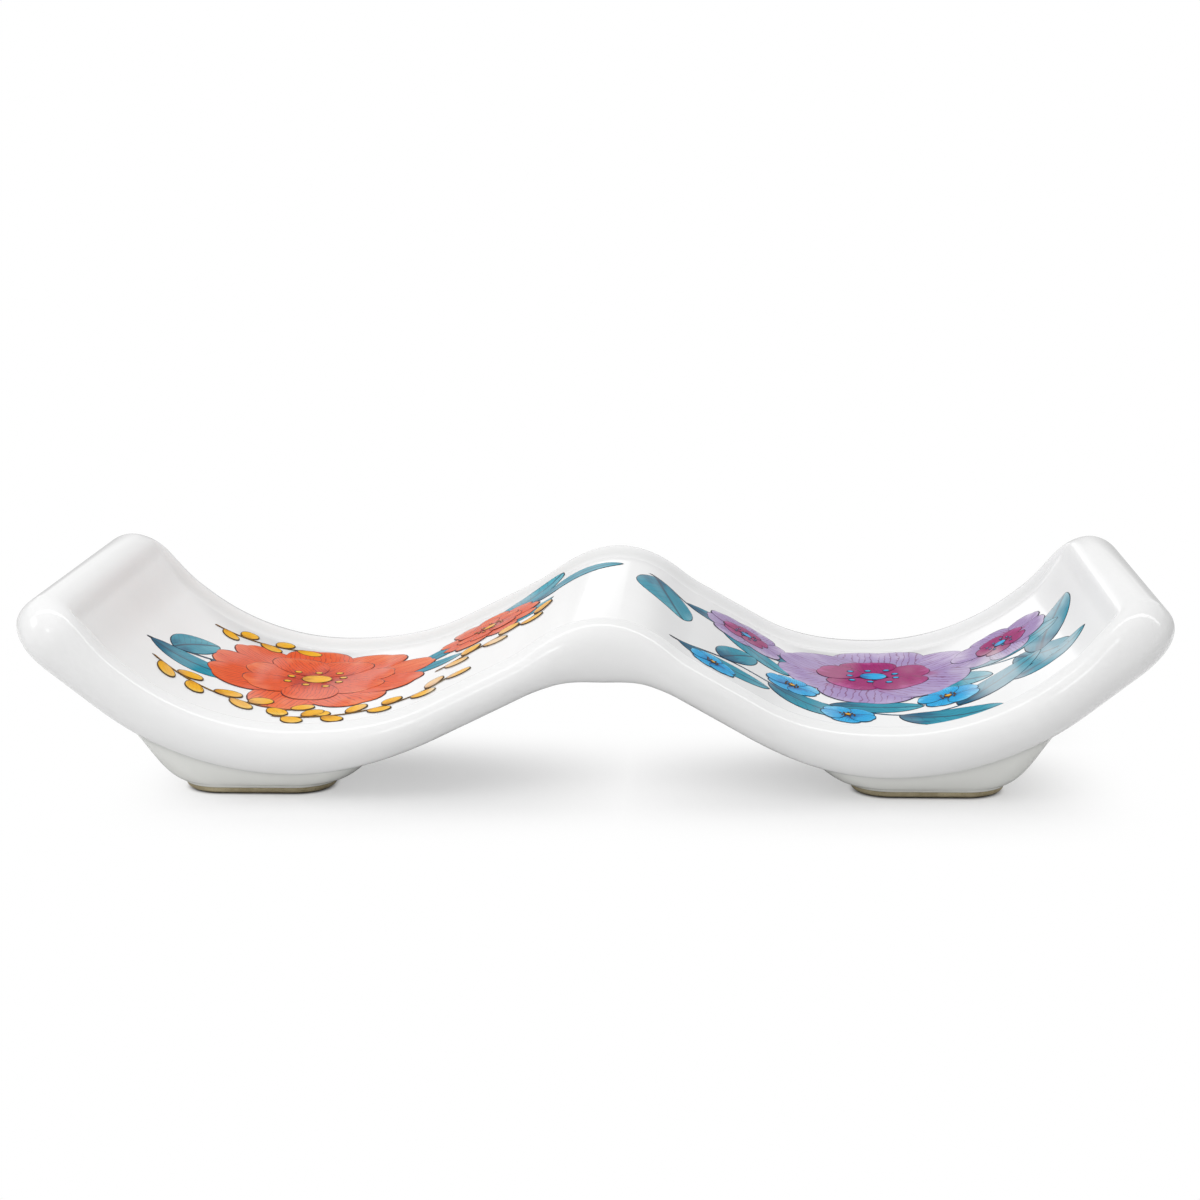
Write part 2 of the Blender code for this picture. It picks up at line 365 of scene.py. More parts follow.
def tray_skin():
    """Skin of the tray, with its rounded edge, soft rim, end rolls and floor."""
    skin = Skin(("pool_and_shade",))
    loops = []
    for step in range(EDGE_STEPS + 1):
        angle = math.pi * (step / EDGE_STEPS - 0.5)
        reach = max(math.cos(angle), 0.0) ** (2.0 / EDGE_FULLNESS)
        level = math.copysign(abs(math.sin(angle)) ** (2.0 / EDGE_FULLNESS), angle)
        flat = rounded_loop(
            TIP_DISTANCE - (1.0 - reach) * END_ROLL,
            TRAY_DEPTH / 2.0 - (1.0 - reach) * EDGE_ROLL,
            RIM_CORNER + reach * EDGE_ROLL,
            TRAY_SIDES,
        )
        loops.append((flat, level))
    for step in range(1, RIM_STEPS + 1):
        share = step / RIM_STEPS
        flat = rounded_loop(
            END_DISTANCE - END_SLOPE * share,
            TRAY_DEPTH / 2.0 - EDGE_ROLL - RIM_SLOPE * share,
            RIM_CORNER + (HOLLOW_CORNER - RIM_CORNER) * share,
            TRAY_SIDES,
        )
        loops.append((flat, 1.0))
    rows = []
    for flat, level in loops:
        # The crease inside the rim darkens: thicker glaze and painted shade.
        mark = pool_and_shade_mark(flat) if level == 1.0 else np.zeros(len(flat))
        rows.append(skin.add_points(tray_points(flat, level), mark))
    for lower, upper in zip(rows, rows[1:]):
        skin.add_band(lower, upper)
    under = loop_grid(loops[0][0], TRAY_SIDES)
    floor = loop_grid(loops[-1][0], TRAY_SIDES)
    skin.add_cap(rows[0], tray_points(under, -1.0), False)
    skin.add_cap(rows[-1], tray_points(floor, 1.0), True, pool_and_shade_mark(floor)[..., None])
    return skin


# Feet and rings

def foot_outline(side, inner_angle, outer_angle, inset, margin=0.0):
    """Outline about a hollow: angles of its arcs along the wave, an inset across, less a margin."""
    inner = HOLLOW_INNER_RADIUS * math.sin(math.radians(inner_angle)) - margin
    outer = HOLLOW_OUTER_RADIUS * math.sin(math.radians(outer_angle)) - margin
    half_width = TRAY_DEPTH / 2.0 - inset - margin
    corner = max(FOOT_CORNER - margin, RING_INNER_ROUND)
    loop = rounded_loop((inner + outer) / 2.0, half_width, corner, FOOT_SIDES)
    loop = loop + ((outer - inner) / 2.0 + HOLLOW_X, 0.0)
    return loop if side == "right" else -loop


def base_outline(side, margin):
    """Outline of a foot's base, less a margin."""
    return foot_outline(side, FOOT_BASE_INNER_ANGLE, FOOT_BASE_OUTER_ANGLE, FOOT_BASE_INSET, margin)


def at_height(flat, z):
    """Points over flat places at one height or at a height each."""
    return np.concatenate((flat, np.broadcast_to(z, flat.shape[:-1])[..., None]), axis=-1)


def soft_curve(knots, share):
    """Place on a soft curve that four knots lead."""
    first, second, third, last = (np.array(knot) for knot in knots)
    rest = 1.0 - share
    ends = first * rest ** 3 + last * share ** 3
    return ends + 3.0 * rest * share * (second * rest + third * share)


def foot_skin(side, joint_inset, base_round):
    """Skin of one foot: a rounded base and a soft flare that runs up into the edge of the tray."""
    skin = Skin(("pool_and_shade",))
    base = base_outline(side, 0.0)
    top = foot_outline(side, FOOT_TOP_INNER_ANGLE, FOOT_TOP_OUTER_ANGLE, joint_inset)
    low = GLAZE_LINE_Z + base_round
    high = underside_z(top) + FOOT_TUCK
    loops = []
    for step in range(ROUND_STEPS):
        angle = math.pi / 2.0 * step / ROUND_STEPS
        flat = base_outline(side, base_round * (1.0 - math.sin(angle)))
        loops.append((at_height(flat, low - base_round * math.cos(angle)), 0.0))
    for step in range(FOOT_STEPS + 1):
        share = step / FOOT_STEPS
        reach, rise = soft_curve(FOOT_CURVE, share)
        # The mark rises to 1 at the top of the foot: painted shade in the crease where it meets the tray,
        # with thicker glaze.
        loops.append((at_height(base + (top - base) * reach, low + (high - low) * rise), share ** 10))
    rows = [skin.add_points(points, np.full(len(points), mark)) for points, mark in loops]
    for lower, upper in zip(rows, rows[1:]):
        skin.add_band(lower, upper)
    under = loop_grid(loops[0][0][:, :2], FOOT_SIDES)
    over = loop_grid(top, FOOT_SIDES)
    skin.add_cap(rows[0], at_height(under, GLAZE_LINE_Z), False)
    skin.add_cap(rows[-1], at_height(over, underside_z(over) + FOOT_TUCK), True)
    return skin


def ring_skin(side):
    """Skin of one bare ring: rounded outside, flat below, eased inside, tucked under the glaze."""
    skin = Skin(("rise",))
    section = []
    for step in range(ROUND_STEPS + 1):
        angle = math.pi / 2.0 * step / ROUND_STEPS
        section.append((RING_OUTER_ROUND * (1.0 - math.sin(angle)), RING_TOP_Z * (1.0 - math.cos(angle))))
    section.append((RING_WIDTH, RING_TOP_Z))
    for step in range(ROUND_STEPS + 1):
        angle = math.pi / 2.0 * step / ROUND_STEPS
        inset = RING_WIDTH - RING_INNER_ROUND * (1.0 - math.cos(angle))
        section.append((inset, RING_INNER_ROUND * (1.0 - math.sin(angle))))
    rows = []
    for inset, z in section:
        points = at_height(base_outline(side, RING_LEDGE + inset), z)
        rows.append(skin.add_points(points, np.full(len(points), z / GLAZE_LINE_Z)))
    for lower, upper in zip(rows, rows[1:] + rows[:1]):
        skin.add_band(lower, upper)
    return skin


# Painted films on the floor of the tray

FILM_MARKS = ("along", "across", "edge", "tone")


def add_film(skin, flat, marks, height):
    """Add one thin film of enamel that lies on the floor of the tray."""
    heights = np.full(flat.shape[:2], height)
    heights[0] = heights[-1] = -FILM_SINK
    heights[:, 0] = heights[:, -1] = -FILM_SINK
    front = skin.add_points(tray_points(flat, 1.0, heights), marks)
    back = front.copy()
    inside = flat[1:-1, 1:-1]
    back[1:-1, 1:-1] = skin.add_points(tray_points(inside, 1.0, -2.0 * FILM_SINK))
    skin.add_grid(front)
    skin.add_grid(back, upward=False)


def disc_places(steps):
    """Places in a round disc on a square grid, close together at its border."""
    line = np.sin(np.linspace(-math.pi / 2.0, math.pi / 2.0, steps + 1))
    a, b = np.meshgrid(line, line, indexing="ij")
    return a * np.sqrt(1.0 - b * b / 2.0), b * np.sqrt(1.0 - a * a / 2.0)


def add_dab(skin, base, heading, length, width, height, tone, egg=0.0, notch=0.0, point=0.0, bend=0.0):
    """Add one brush dab, from its base along a heading: a petal, a leaf or a berry."""
    p, q = disc_places(DAB_STEPS)
    side = q * (1.0 + egg * p) * (1.0 - p * p + 1e-4) ** point
    reach = (p + 1.0) / 2.0 - notch * np.exp(-(q / 0.25) ** 2) * np.maximum(p, 0.0) ** 4
    turn = heading + bend * reach
    middle = heading + bend * reach / 2.0
    x = base[0] + reach * length * np.cos(middle) - side * width / 2.0 * np.sin(turn)
    y = base[1] + reach * length * np.sin(middle) + side * width / 2.0 * np.cos(turn)
    edge = (1.0 - np.sqrt(np.minimum(p * p + q * q, 1.0))) * min(length, width) / 2.0
    marks = np.stack((reach, side, edge, np.full_like(p, tone)), axis=-1)
    add_film(skin, np.stack((x, y), axis=-1), marks, height)


def smooth_line(points, count):
    """Points along a smooth line through the given ones."""
    points = np.array(points, float)
    padded = np.concatenate((2 * points[:1] - points[1:2], points, 2 * points[-1:] - points[-2:-1]))
    place = np.linspace(0.0, len(points) - 1.0, count)
    knot = np.minimum(place.astype(int), len(points) - 2)
    t = (place - knot)[:, None]
    a, b, c, d = (padded[knot + shift] for shift in range(4))
    square = (2 * a - 5 * b + 4 * c - d) * t ** 2
    cube = (3 * b - a - 3 * c + d) * t ** 3
    return 0.5 * (2 * b + (c - a) * t + square + cube)


def headings(line):
    """Direction of a line at each of its points."""
    step = np.gradient(line, axis=0)
    return np.arctan2(step[:, 1], step[:, 0])


def add_stroke(skin, line, start_width, end_width, height, tone):
    """Add one brush stroke of changing width along a line."""
    share = np.linspace(0.0, 1.0, len(line))
    half = (start_width + (end_width - start_width) * share) / 2.0
    half = half * np.sqrt(np.clip(np.minimum(share, 1.0 - share) / 0.012, 0.04, 1.0))
    turn = headings(line)
    normal = np.stack((-np.sin(turn), np.cos(turn)), axis=-1)
    across = np.array((-1.0, -0.7, 0.0, 0.7, 1.0))
    flat = line[:, None] + normal[:, None] * (half[:, None] * across)[..., None]
    edge = half[:, None] * (1.0 - np.abs(across))
    along = np.broadcast_to(share[:, None], edge.shape)
    marks = np.stack((along, np.broadcast_to(across, edge.shape), edge, np.full_like(edge, tone)), axis=-1)
    add_film(skin, flat, marks, height)


# Layout of the painting, in millimetres along the wave from the crest and across from the middle

STEMS = (
    ((-55.0, -6.0), (-47.0, 0.0), (-37.0, 3.0), (-27.0, 3.0), (-18.0, 7.0), (-9.0, 13.5)),
    ((3.0, 13.5), (11.0, 8.5), (21.0, 6.0), (32.0, 5.0), (42.0, 2.5), (50.5, -3.0)),
    ((6.0, -14.0), (15.0, -8.0), (25.0, -9.5), (36.0, -13.5), (46.0, -12.0), (53.5, -6.0)),
)
LEAVES = (
    (0, (0.02, 0.10, 0.19, 0.28, 0.62, 0.70, 0.80, 0.90, 0.99), 11.5),
    (1, (0.03, 0.14, 0.25, 0.36, 0.72, 0.84, 0.99), 12.5),
    (2, (0.04, 0.17, 0.30, 0.44, 0.58, 0.72, 0.86, 0.99), 12.0),
)
ORANGE_BLOSSOMS = ((-34.5, 2.5, 14.5, 0.25), (-14.5, 10.0, 6.5, 0.9))
LILAC_BLOSSOMS = ((33.0, 5.5, 13.0, 0.35), (16.5, 10.5, 6.0, 0.1), (49.0, 6.5, 6.5, 0.7))
BLUE_BLOSSOMS = (
    (22.5, -5.0, 3.6, 0.2),
    (29.0, -14.0, 3.4, 0.8),
    (41.0, -8.0, 3.8, 0.5),
    (12.0, -14.0, 3.0, 0.4),
)
YELLOW_SPRAYS = (
    (-53.0, -10.0, -0.30, 9),
    (-37.0, -16.0, 0.02, 9),
    (-20.0, -3.0, 0.35, 6),
    (-50.0, 14.0, 0.06, 5),
)
POLLEN_DOTS = 9

# Layers of the painting, as heights over the glaze in films of enamel
STEM_LAYER = 0.6
LEAF_LAYER = 0.9
LEAF_LAYER_STEP = 0.35
PETAL_LAYER = 2.1
PETAL_RING_STEP = 1.5
PETAL_LAYER_STEP = 0.45
STALK_LAYER = 3.3
BERRY_LAYER = 3.7
BERRY_LAYER_STEP = 0.4
HEART_LAYER = 5.2
POLLEN_LAYER = 5.6

# Seeds of the small differences between like strokes
LEFT_LEAVES_SEED = 11
RIGHT_LEAVES_SEED = 23
PETALS_SEED = 5
BERRIES_SEED = 3


def millimetres(place):
    """A place of the layout in metres."""
    return np.array(place, float) * 0.001


def stem_lines():
    """Lines of the stems on the flat floor of the tray."""
    return [smooth_line(millimetres(points), STEM_POINTS) for points in STEMS]


def stems_skin(sizes):
    """Skin of the stems of the painting."""
    skin = Skin(FILM_MARKS)
    height = sizes.enamel_height * STEM_LAYER
    for line in stem_lines():
        add_stroke(skin, line, sizes.stem_width, sizes.stem_width * 0.6, height, 0.5)
    return skin


def leaves_skin(sizes, stems, seed):
    """Skin of the leaves that stand along some of the stems, on alternate sides."""
    skin = Skin(FILM_MARKS)
    dice = random.Random(seed)
    lines = stem_lines()
    for stem, shares, length in LEAVES:
        if stem not in stems:
            continue
        line = lines[stem]
        turn = headings(line)
        for place, share in enumerate(shares):
            knot = int(share * (len(line) - 1))
            side = 1.0 if place % 2 else -1.0
            heading = turn[knot] + side * dice.uniform(0.45, 0.85)
            size = millimetres(length) * dice.uniform(0.85, 1.15) * sizes.leaf_scale
            width = size * dice.uniform(0.40, 0.48)
            bend = -side * dice.uniform(0.2, 0.6)
            height = sizes.enamel_height * (LEAF_LAYER + LEAF_LAYER_STEP * (place % 3))
            add_dab(skin, line[knot], heading, size, width, height, dice.random(), point=0.22, bend=bend)
    return skin


def add_petals(skin, dice, centre, radius, turn, count, share, height, step):
    """Add one ring of petals to a blossom; share is how far they reach of its radius."""
    for petal in range(count):
        heading = turn + petal * math.tau / count + dice.uniform(-0.06, 0.06)
        length = radius * share * dice.uniform(0.92, 1.0) * (0.88 + 0.16 * abs(math.sin(heading)))
        width = radius * share * 5.4 / count * dice.uniform(0.92, 1.06)
        base = centre + 0.10 * radius * np.array((math.cos(heading), math.sin(heading)))
        add_dab(
            skin, base, heading, length, width, height + step * (petal % 3), dice.random(),
            egg=0.22, notch=0.05, point=0.06, bend=dice.uniform(-0.18, 0.18),
        )


def petals_skin(sizes, blossoms, count, share, layer, seed):
    """Skin of one ring of petals of some blossoms, on a layer of the painting."""
    skin = Skin(FILM_MARKS)
    dice = random.Random(seed)
    height = sizes.enamel_height * layer
    step = PETAL_LAYER_STEP * sizes.enamel_height
    for x, y, radius, turn in blossoms:
        radius = millimetres(radius) * sizes.blossom_scale
        add_petals(skin, dice, millimetres((x, y)), radius, turn, count, share, height, step)
    return skin


def hearts_skin(sizes, blossoms):
    """Skin of the hearts of some blossoms: a disc with a ring of pollen dots."""
    skin = Skin(FILM_MARKS)
    for x, y, radius, turn in blossoms:
        centre = millimetres((x, y))
        radius = millimetres(radius) * sizes.blossom_scale
        heart = 0.13 * radius
        height = sizes.enamel_height * HEART_LAYER
        add_dab(skin, centre - (heart, 0.0), 0.0, 2.0 * heart, 2.0 * heart, height, 0.2)
        height = sizes.enamel_height * POLLEN_LAYER
        for dot in range(POLLEN_DOTS):
            angle = turn + dot * math.tau / POLLEN_DOTS
            reach = radius * (0.22 + 0.05 * (dot % 2))
            place = centre + reach * np.array((math.cos(angle), math.sin(angle)))
            size = 0.07 * radius
            add_dab(skin, place - (size / 2.0, 0.0), 0.0, size, size, height, 0.9)
    return skin


def berries_skin(sizes, sprays, seed):
    """Skin of sprays of berries: a thin bent stalk with a berry at each side of it in turn."""
    skin = Skin(FILM_MARKS)
    dice = random.Random(seed)
    for x, y, heading, count in sprays:
        step = 1.7 * sizes.berry_radius
        place = millimetres((x, y))
        stalk = [place]
        for berry in range(count):
            heading += dice.uniform(0.0, 0.09)
            place = place + step * np.array((math.cos(heading), math.sin(heading)))
            stalk.append(place)
        line = smooth_line(stalk, STALK_POINTS)
        height = sizes.enamel_height * STALK_LAYER
        add_stroke(skin, line, sizes.stem_width * 0.5, sizes.stem_width * 0.35, height, 0.9)
        turn = headings(line)
        for berry in range(count):
            knot = int((berry + 0.7) / count * (len(line) - 1))
            side = 1.0 if berry % 2 else -1.0
            angle = turn[knot] + side * dice.uniform(0.7, 1.1)
            length = sizes.berry_radius * dice.uniform(2.2, 2.9)
            width = sizes.berry_radius * dice.uniform(1.5, 1.8)
            height = sizes.enamel_height * (BERRY_LAYER + BERRY_LAYER_STEP * (berry % 2))
            add_dab(skin, line[knot], angle, length, width, height, dice.random(), egg=0.15, point=0.05)
    return skin


# Finishes

WHITE = (1.0, 1.0, 1.0, 1.0)
GLAZE_REFRACTION = 1.52
ENAMEL_REFRACTION = 1.04
# How far the crease mark greys the glaze: partly thick glaze, partly painted shade, most at the tops of the
# feet.
TRAY_POOL_AND_SHADE_DEPTH = 0.2
FOOT_POOL_AND_SHADE_DEPTH = 0.9
CLAY_GRAIN_HEIGHT = 0.00006

# Where a painted reflection pales the paint, along the wave in metres: where it sets in and where it ends
LEFT_GLARE_VEIL = ((-0.028, -0.018), (-0.014, -0.006))
RIGHT_GLARE_VEIL = (0.034, 0.046)


def wire(tree, kind, inputs=None, **settings):
    """Add a node, set it up and feed its inputs from values or from other nodes."""
    made = tree.nodes.new(kind)
    for key, value in settings.items():
        setattr(made, key, value)
    for key, value in (inputs or {}).items():
        if isinstance(value, bpy.types.NodeSocket):
            tree.links.new(value, made.inputs[key])
        else:
            made.inputs[key].default_value = value
    return made


def calculate(tree, operation, first, second=0.0):
    """Result of a sum on one or two values."""
    return wire(tree, "ShaderNodeMath", {0: first, 1: second}, operation=operation).outputs[0]


def times(tree, first, second):
    """Product of two values."""
    return calculate(tree, "MULTIPLY", first, second)


def ease(tree, value, low, high, start=0.0, end=1.0):
    """A value eased from start to end while it goes from low to high."""
    settings = {"Value": value, "From Min": low, "From Max": high, "To Min": start, "To Max": end}
    return wire(tree, "ShaderNodeMapRange", settings, interpolation_type="SMOOTHSTEP").outputs[0]


def between(tree, value, rise, fall):
    """1 where a value lies between a rise and a fall, eased to 0 outside them."""
    return times(tree, ease(tree, value, *rise), ease(tree, value, *fall, 1.0, 0.0))


def mix_colours(tree, share, first, second):
    """Blend of two colours."""
    return wire(tree, "ShaderNodeMix", {0: share, 6: first, 7: second}, data_type="RGBA").outputs[2]


def mark(tree, name):
    """Value of one of a piece's marks."""
    return wire(tree, "ShaderNodeAttribute", attribute_name=name).outputs["Fac"]


def cloud(tree, scale, detail=2.0, roughness=0.5, vector=None):
    """Soft random cloud through the clay, from 0 to 1."""
    if vector is None:
        vector = wire(tree, "ShaderNodeTexCoord").outputs["Object"]
    settings = {"Vector": vector, "Scale": scale, "Detail": detail, "Roughness": roughness}
    return wire(tree, "ShaderNodeTexNoise", settings).outputs["Fac"]


def new_finish(name):
    """Empty material with its shader, ready for wiring."""
    material = bpy.data.materials.new(name)
    material.use_nodes = True
    return material, material.node_tree, material.node_tree.nodes["Principled BSDF"]


def rippled_normal(tree, height):
    """Normal of a poured glaze: long gentle ripples with a trace of fine pitting."""
    long_ripple = cloud(tree, 95.0, 1.0)
    pitting = cloud(tree, 1300.0, 1.0)
    ripple = calculate(tree, "ADD", long_ripple, times(tree, pitting, 0.012))
    bump = wire(tree, "ShaderNodeBump", {"Strength": 1.0, "Distance": height, "Height": ripple})
    return bump.outputs["Normal"]


def glaze_finish(name, sizes, colours, white, depth):
    """Glossy white glaze that turns greyer in creases, from thicker glaze and painted shade, with faint
    clouds.
    """
    material, tree, shader = new_finish(name)
    drift = cloud(tree, 70.0, 3.0)
    # Painted shade and pooled glaze: the crease mark darkens the white towards the grey of the pool.
    pool_and_shade = times(tree, mark(tree, "pool_and_shade"), depth)
    shade = calculate(tree, "ADD", pool_and_shade, ease(tree, drift, 0.3, 0.8, 0.0, 0.08))
    colour = mix_colours(tree, shade, list(white), list(colours.glaze_pool_and_shade))
    tree.links.new(colour, shader.inputs["Base Color"])
    gloss = ease(tree, cloud(tree, 240.0, 2.0), 0.25, 0.75, 0.05, 0.085)
    tree.links.new(gloss, shader.inputs["Roughness"])
    tree.links.new(rippled_normal(tree, sizes.glaze_ripple), shader.inputs["Normal"])
    shader.inputs["IOR"].default_value = GLAZE_REFRACTION
    return material


def clay_finish(name, colours):
    """Bare fired clay: sandy, speckled, darker where it meets the glaze, with a painted contact shadow
    where it meets the table.
    """
    material, tree, shader = new_finish(name)
    rise = mark(tree, "rise")
    blotch = ease(tree, cloud(tree, 420.0, 4.0, 0.6), 0.3, 0.7)
    colour = mix_colours(tree, blotch, list(colours.clay_dark), list(colours.clay))
    # Painted contact shadow: the clay turns dark towards the table.
    contact_shadow = ease(tree, rise, 0.10, 0.45, 1.0, 0.0)
    glaze_line = ease(tree, rise, 0.86, 1.0, 0.0, 0.25)
    line = calculate(tree, "MAXIMUM", contact_shadow, glaze_line)
    colour = mix_colours(tree, line, colour, list(colours.clay_line_and_shadow))
    grain = cloud(tree, 5200.0, 3.0, 0.7)
    speckle = ease(tree, grain, 0.55, 0.75, 0.0, 0.45)
    colour = mix_colours(tree, speckle, colour, list(colours.clay_line_and_shadow))
    tree.links.new(colour, shader.inputs["Base Color"])
    tree.links.new(ease(tree, grain, 0.3, 0.7, 0.62, 0.85), shader.inputs["Roughness"])
    bump = wire(tree, "ShaderNodeBump", {"Strength": 0.6, "Distance": CLAY_GRAIN_HEIGHT, "Height": grain})
    tree.links.new(bump.outputs["Normal"], shader.inputs["Normal"])
    return material


def glare_veil(tree):
    """Painted reflection on the paint: soft streaks of glare, most of all up the right side of each hollow.
    """
    where = wire(tree, "ShaderNodeTexCoord").outputs["Object"]
    along = wire(tree, "ShaderNodeSeparateXYZ", {0: where}).outputs["X"]
    left = between(tree, along, *LEFT_GLARE_VEIL)
    side = calculate(tree, "MAXIMUM", left, ease(tree, along, *RIGHT_GLARE_VEIL))
    stretched = wire(tree, "ShaderNodeMapping", {"Vector": where, "Scale": (1.0, 0.35, 1.0)}).outputs[0]
    streaks = ease(tree, cloud(tree, 190.0, 2.0, 0.5, stretched), 0.42, 0.66)
    return times(tree, streaks, ease(tree, side, 0.0, 1.0, 0.12, 0.5))


def enamel_finish(name, sizes, colours, deep, middle, pale, veins):
    """Painted enamel: a wash from deep to pale, fine veins or brush streaks, and a dark outline, paled in
    streaks by a painted reflection.
    """
    material, tree, shader = new_finish(name)
    along = mark(tree, "along")
    across = mark(tree, "across")
    tone = mark(tree, "tone")
    offset = times(tree, tone, 37.0)
    place = wire(tree, "ShaderNodeCombineXYZ", {0: along, 1: across, 2: offset}).outputs[0]
    wash = cloud(tree, 2.6, 3.0, 0.6, place)
    drift = calculate(tree, "SUBTRACT", wash, 0.5)
    fade = calculate(tree, "ADD", along, times(tree, drift, 0.9))
    lighter = times(tree, calculate(tree, "SUBTRACT", tone, 0.5), 0.25)
    fade = calculate(tree, "ADD", fade, lighter)
    near = mix_colours(tree, ease(tree, fade, 0.0, 0.45), list(deep), list(middle))
    colour = mix_colours(tree, ease(tree, fade, 0.60, 1.20), near, list(pale))
    wander = calculate(tree, "ADD", across, times(tree, drift, 0.35))
    if veins == "leaf":
        lean = times(tree, calculate(tree, "ABSOLUTE", wander), 0.22)
        slant = calculate(tree, "SUBTRACT", along, lean)
        comb = calculate(tree, "PINGPONG", times(tree, slant, 9.0), 0.5)
        lines = ease(tree, comb, 0.0, 0.08, 0.5, 0.0)
        rib = ease(tree, calculate(tree, "ABSOLUTE", across), 0.03, 0.10, 0.85, 0.0)
        lines = calculate(tree, "MAXIMUM", lines, rib)
    elif veins == "petal":
        comb = calculate(tree, "PINGPONG", times(tree, wander, 7.0), 0.5)
        reach = ease(tree, calculate(tree, "ADD", along, drift), 0.70, 1.05, 0.75, 0.0)
        lines = times(tree, ease(tree, comb, 0.03, 0.12, 0.85, 0.0), reach)
    else:
        bristles = times(tree, across, 9.0)
        streaks = wire(tree, "ShaderNodeCombineXYZ", {0: along, 1: bristles, 2: offset}).outputs[0]
        lines = ease(tree, cloud(tree, 1.4, 2.0, 0.5, streaks), 0.56, 0.66, 0.0, 0.4)
    ink = mix_colours(tree, 0.45, list(colours.outline), list(deep))
    colour = mix_colours(tree, lines, colour, ink)
    # Painted reflection: streaks of glare pale the paint towards the glaze's white and weaken the outline.
    glare = glare_veil(tree)
    colour = mix_colours(tree, glare, colour, list(colours.glaze))
    width = sizes.outline_width
    outline = ease(tree, mark(tree, "edge"), width * 0.6, width * 1.3, 0.9, 0.0)
    outline = times(tree, outline, ease(tree, glare, 0.0, 1.0, 1.0, 0.5))
    colour = mix_colours(tree, outline, colour, list(colours.outline))
    tree.links.new(colour, shader.inputs["Base Color"])
    tree.links.new(ease(tree, wash, 0.25, 0.75, 0.10, 0.18), shader.inputs["Roughness"])
    tree.links.new(rippled_normal(tree, sizes.glaze_ripple), shader.inputs["Normal"])
    shader.inputs["IOR"].default_value = ENAMEL_REFRACTION
    return material


# Stage

PAPER_FIBRE = (0.60, 0.60, 0.60, 1.0)
FLOOR_SIDES = 64
FLOOR_RADII = (0.0, 0.05, 0.2, 1.0, 6.0)

# Where the paper keeps its shadow, in metres on the floor: where a shade sets in and where it ends
SHADE_MIDDLE_X = 0.0035
FEET_SHADE = ((-0.020, 0.030), (0.034, 0.058))
FRONT_SHADE = ((-0.042, -0.024), (-0.014, 0.014))
BACK_SHADE = ((-0.010, 0.010), (0.022, 0.050))
BACK_SHADE_ASIDE = (0.020, 0.029)
UNDER_LENGTH = (0.046, 0.062)
UNDER_DEPTH = (0.016, 0.028)
CONTACT_LINE = (0.0002, 0.0013)

# Strip round the back and the ends: where it stands, how far its top lies over the wave, where it fades
STRIP_POINTS = 400
STRIP_GAP = 0.0050
STRIP_REACH = 0.062
STRIP_LIFT = 0.002
STRIP_END_LIFT = 0.002
STRIP_END_LENGTH = 0.028
STRIP_HOLLOW_LIFT = 0.0035
STRIP_HOLLOW_LENGTH = 0.013
STRIP_LEFT_HOLLOW_X = -0.039
STRIP_WING_LIFT = 0.016
STRIP_WING_START = 0.074
STRIP_WING_LENGTH = 0.012
STRIP_FRONT_Y = -0.020
STRIP_FADE_LENGTH = 0.015
STRIP_ROWS = ((0.030, 1.0), (0.0040, 1.0), (0.0015, 0.7), (0.0, 0.0))

# Lamps: place, target and size
KEY_LAMP = ((-0.24, -0.33, 0.42), (0.0, 0.0, 0.01), (0.34, 0.34))
TOP_LAMP = ((0.20, 0.05, 0.60), (0.20, 0.0, 0.01), (1.80, 0.50))

# Cards that show in the gloss alone: place and size, and where it differs softness, way along and way up
CARD_POINTS = 17
LEFT_CARD = ((-0.060, 0.50, 0.040), (0.09, 0.075))
RIGHT_CARD = ((0.115, 0.50, 0.060), (0.20, 0.12))
WINDOW_CARD = ((-0.045, 0.52, 0.090), (0.26, 0.12))
OVERHEAD_CARD = ((0.20, 0.05, 0.60), (2.00, 0.12), 0.4, (1.0, 0.0, 0.0), (0.0, 1.0, 0.0))
SIDE_CARD = ((-0.54, -0.10, 0.36), (0.30, 0.22), 0.5, (0.0, 1.0, 0.0), (0.6, 0.0, 0.8))
KEY_CARD = ((-0.285, -0.454, 0.375), (0.16, 0.12), 0.6, (0.79, -0.61, 0.0), (0.33, 0.43, 0.84))
LEFT_CARD_PALER = 0.1


